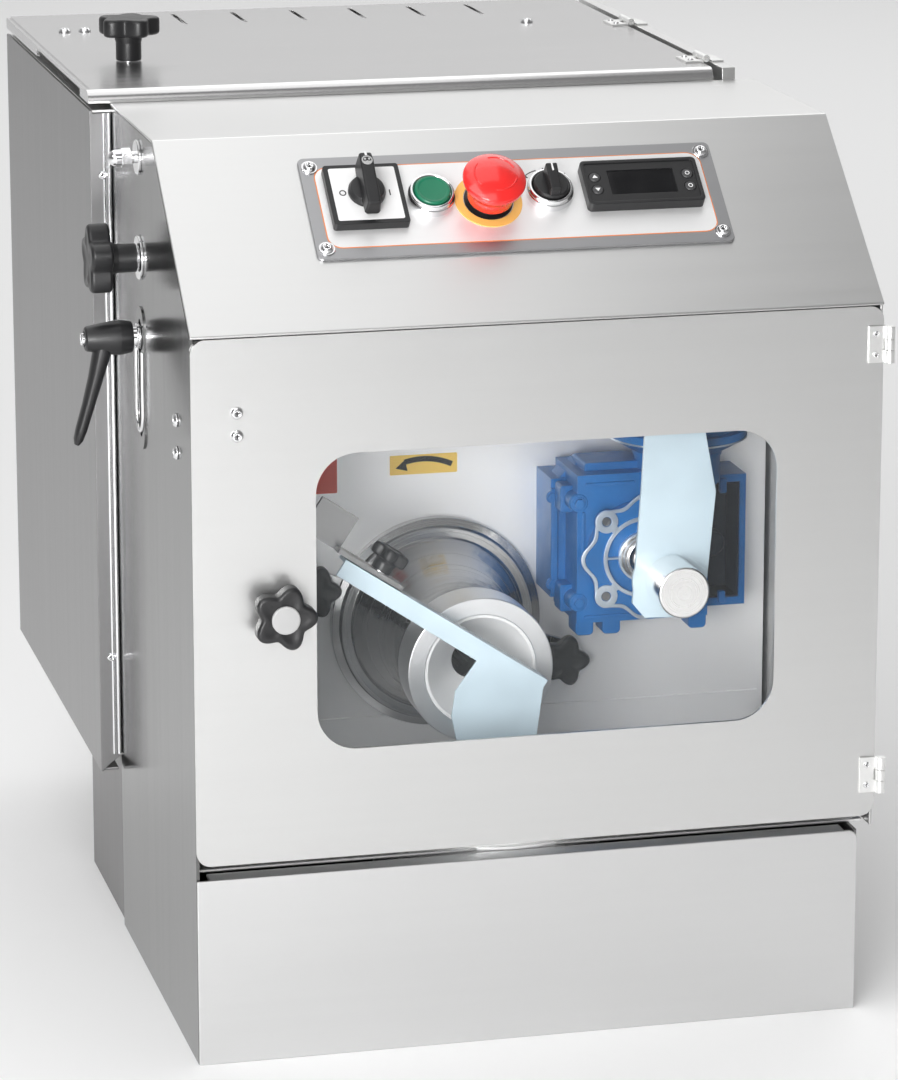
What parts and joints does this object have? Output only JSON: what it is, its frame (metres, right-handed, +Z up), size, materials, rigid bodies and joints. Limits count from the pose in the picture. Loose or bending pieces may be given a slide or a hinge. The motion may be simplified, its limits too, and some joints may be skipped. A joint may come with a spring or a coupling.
{
  "type": "dough portioning machine",
  "caption": "Bench-top dough portioner in folded stainless sheet: hopper with lid, auger, nozzle, swinging knife and portion flap behind a windowed door, sloped control panel.",
  "frame": {"origin": "middle of the base skirt's rectangle, on the plane that it stands on", "axes": "+Z up, +X to the operator's right, +Y towards the back, away from the door"},
  "size_m": [0.48, 0.6557, 0.5893],
  "materials": {
    "casing_steel": "brushed stainless sheet",
    "polished_steel": "bright polished stainless sheet",
    "inner_steel": "satin stainless sheet",
    "plate_steel": "fine satin plate with a grey border",
    "dark_steel": "dark oxidised steel",
    "turned_steel": "turned stainless, fine rings",
    "hinge_steel": "bright stainless",
    "filmed_steel": "stainless under pale blue protective film",
    "aluminium": "turned aluminium",
    "chrome": "polished",
    "cast_iron": "machined, dark",
    "blue_paint": "glossy blue enamel on castings",
    "black_plastic": "moulded, fine grain",
    "grey_plastic": "soft-touch keys",
    "white_plastic": "machined food-grade plastic",
    "green_plastic": "moulded",
    "red_plastic": "moulded",
    "yellow_plastic": "legend disc",
    "rubber": "ribbed belt",
    "clear_acrylic": "clear acrylic sheet"
  },
  "bodies": {
    "chassis": {"base_tray": "casing_steel", "lower_front_panel": "casing_steel", "deck_plate": "casing_steel", "compartment_pan": "inner_steel", "left_side_panel": "polished_steel", "right_side_panel": "casing_steel", "front_fascia": "casing_steel", "bulkhead": "inner_steel", "left_rear_cover": "casing_steel", "rear_casing": "casing_steel", "hopper_rim": "casing_steel", "hopper": "inner_steel", "nozzle_body": "turned_steel", "nozzle_ring": "aluminium", "nozzle_insert": "white_plastic", "gearbox_housing": "blue_paint", "gearbox_cover": "aluminium", "knife_motor": "blue_paint", "main_motor": "blue_paint", "drive_belt": "rubber", "rear_bearing": "cast_iron", "cable_gland": "black_plastic", "casing_fasteners": "chrome", "control_plate": "plate_steel", "switch_frame": "black_plastic", "button_bezels": "chrome", "estop_base": "yellow_plastic", "controller_housing": "black_plastic", "fixed_hinge_leaves": "hinge_steel"},
    "door": {"door_panel": "casing_steel", "door_window": "clear_acrylic", "door_hinge_leaves": "hinge_steel", "door_screws": "chrome"},
    "door_knob": {"door_knob": "black_plastic"},
    "lid": {"lid_panel": "casing_steel", "lid_hinge_leaves": "hinge_steel", "lid_studs": "chrome"},
    "lid_knob": {"lid_knob": "black_plastic"},
    "knife": {"knife_blade": "filmed_steel", "knife_boss": "turned_steel", "knife_shaft": "turned_steel"},
    "worm": {"worm_shaft": "turned_steel"},
    "auger": {"auger_screw": "turned_steel", "auger_pulley": "cast_iron"},
    "motor_shaft": {"motor_pulley": "cast_iron"},
    "flap_carrier": {"flap_bracket": "dark_steel"},
    "flap": {"portion_flap": "filmed_steel"},
    "flap_knob": {"flap_knob": "black_plastic"},
    "clamp_lever": {"clamp_lever": "black_plastic"},
    "side_knob": {"side_knob": "black_plastic"},
    "left_nozzle_knob": {"left_nozzle_knob": "black_plastic"},
    "right_nozzle_knob": {"right_nozzle_knob": "black_plastic"},
    "main_switch": {"switch_handle": "black_plastic"},
    "start_button": {"start_button": "green_plastic"},
    "emergency_stop": {"estop_head": "red_plastic"},
    "selector": {"selector_knob": "black_plastic"},
    "key_up": {"key_up": "grey_plastic"},
    "key_down": {"key_down": "grey_plastic"},
    "key_mode": {"key_mode": "grey_plastic"},
    "key_set": {"key_set": "grey_plastic"}
  },
  "joints": [
    {"name": "door_hinge", "type": "hinge", "parent": "chassis", "child": "door", "pos_m": [0.223, -0.203, 0.29], "axis": [0, 0, 1], "range_deg": [0, 115]},
    {"name": "door_knob_turn", "type": "hinge", "parent": "door", "child": "door_knob", "pos_m": [-0.158, -0.2, 0.284], "axis": [0, -1, 0], "range_deg": [0, 720]},
    {"name": "lid_hinge", "type": "hinge", "parent": "chassis", "child": "lid", "pos_m": [0.1945, 0.2, 0.5626], "axis": [0, 1, 0], "range_deg": [0, 100]},
    {"name": "lid_knob_turn", "type": "hinge", "parent": "lid", "child": "lid_knob", "pos_m": [-0.176, 0.191, 0.57], "axis": [0, 0, 1], "range_deg": [0, 720]},
    {"name": "knife_swing", "type": "hinge", "parent": "chassis", "child": "knife", "pos_m": [0.111, -0.112, 0.264], "axis": [0, -1, 0], "range_deg": [0, 138]},
    {"name": "worm_spin", "type": "hinge", "parent": "chassis", "child": "worm", "pos_m": [0.14, -0.032, 0.264], "axis": [0, 0, 1], "continuous": true},
    {"name": "auger_spin", "type": "hinge", "parent": "chassis", "child": "auger", "pos_m": [-0.01, 0.1, 0.211], "axis": [0, 1, 0], "continuous": true},
    {"name": "motor_spin", "type": "hinge", "parent": "chassis", "child": "motor_shaft", "pos_m": [0.125, 0.36, 0.19], "axis": [0, 1, 0], "continuous": true},
    {"name": "flap_height", "type": "slide", "parent": "chassis", "child": "flap_carrier", "axis": [0, 0, 1], "range_m": [-0.034, 0.007]},
    {"name": "flap_length", "type": "slide", "parent": "flap_carrier", "child": "flap", "axis": [0.831, 0, -0.5563], "range_m": [-0.009, 0.009]},
    {"name": "flap_knob_turn", "type": "hinge", "parent": "flap_carrier", "child": "flap_knob", "pos_m": [-0.07977, -0.1255, 0.28374], "axis": [0.5563, 0, 0.831], "range_deg": [0, 720]},
    {"name": "clamp_lever_turn", "type": "hinge", "parent": "flap_carrier", "child": "clamp_lever", "pos_m": [-0.21, -0.035, 0.421], "axis": [1, 0, 0], "range_deg": [-75, 75]},
    {"name": "side_knob_turn", "type": "hinge", "parent": "chassis", "child": "side_knob", "pos_m": [-0.21, -0.035, 0.471], "axis": [-1, 0, 0], "range_deg": [0, 720]},
    {"name": "left_nozzle_knob_turn", "type": "hinge", "parent": "chassis", "child": "left_nozzle_knob", "pos_m": [-0.09321, 0, 0.23965], "axis": [0, -1, 0], "range_deg": [0, 720]},
    {"name": "right_nozzle_knob_turn", "type": "hinge", "parent": "chassis", "child": "right_nozzle_knob", "pos_m": [0.07321, 0, 0.18235], "axis": [0, -1, 0], "range_deg": [0, 720]},
    {"name": "main_switch_turn", "type": "hinge", "parent": "chassis", "child": "main_switch", "pos_m": [-0.0875, -0.12499, 0.51629], "axis": [0, -0.6389, 0.7693], "range_deg": [-90, 0]},
    {"name": "start_press", "type": "slide", "parent": "chassis", "child": "start_button", "axis": [0, 0.6389, -0.7693], "range_m": [0, 0.0035], "stiffness_N_per_m": 400},
    {"name": "emergency_stop_press", "type": "slide", "parent": "chassis", "child": "emergency_stop", "axis": [0, 0.6389, -0.7693], "range_m": [0, 0.004]},
    {"name": "selector_turn", "type": "hinge", "parent": "chassis", "child": "selector", "pos_m": [0.0275, -0.12615, 0.51533], "axis": [0, -0.6389, 0.7693], "range_deg": [-45, 45]},
    {"name": "key_up_press", "type": "slide", "parent": "chassis", "child": "key_up", "axis": [0, 0.6389, -0.7693], "range_m": [0, 0.0008], "stiffness_N_per_m": 300},
    {"name": "key_down_press", "type": "slide", "parent": "chassis", "child": "key_down", "axis": [0, 0.6389, -0.7693], "range_m": [0, 0.0008], "stiffness_N_per_m": 300},
    {"name": "key_mode_press", "type": "slide", "parent": "chassis", "child": "key_mode", "axis": [0, 0.6389, -0.7693], "range_m": [0, 0.0008], "stiffness_N_per_m": 300},
    {"name": "key_set_press", "type": "slide", "parent": "chassis", "child": "key_set", "axis": [0, 0.6389, -0.7693], "range_m": [0, 0.0008], "stiffness_N_per_m": 300}
  ],
  "couplings": [
    {"joint": "worm_spin", "follows": "knife_swing", "ratio": 20},
    {"joint": "motor_spin", "follows": "auger_spin", "ratio": 2}
  ]
}
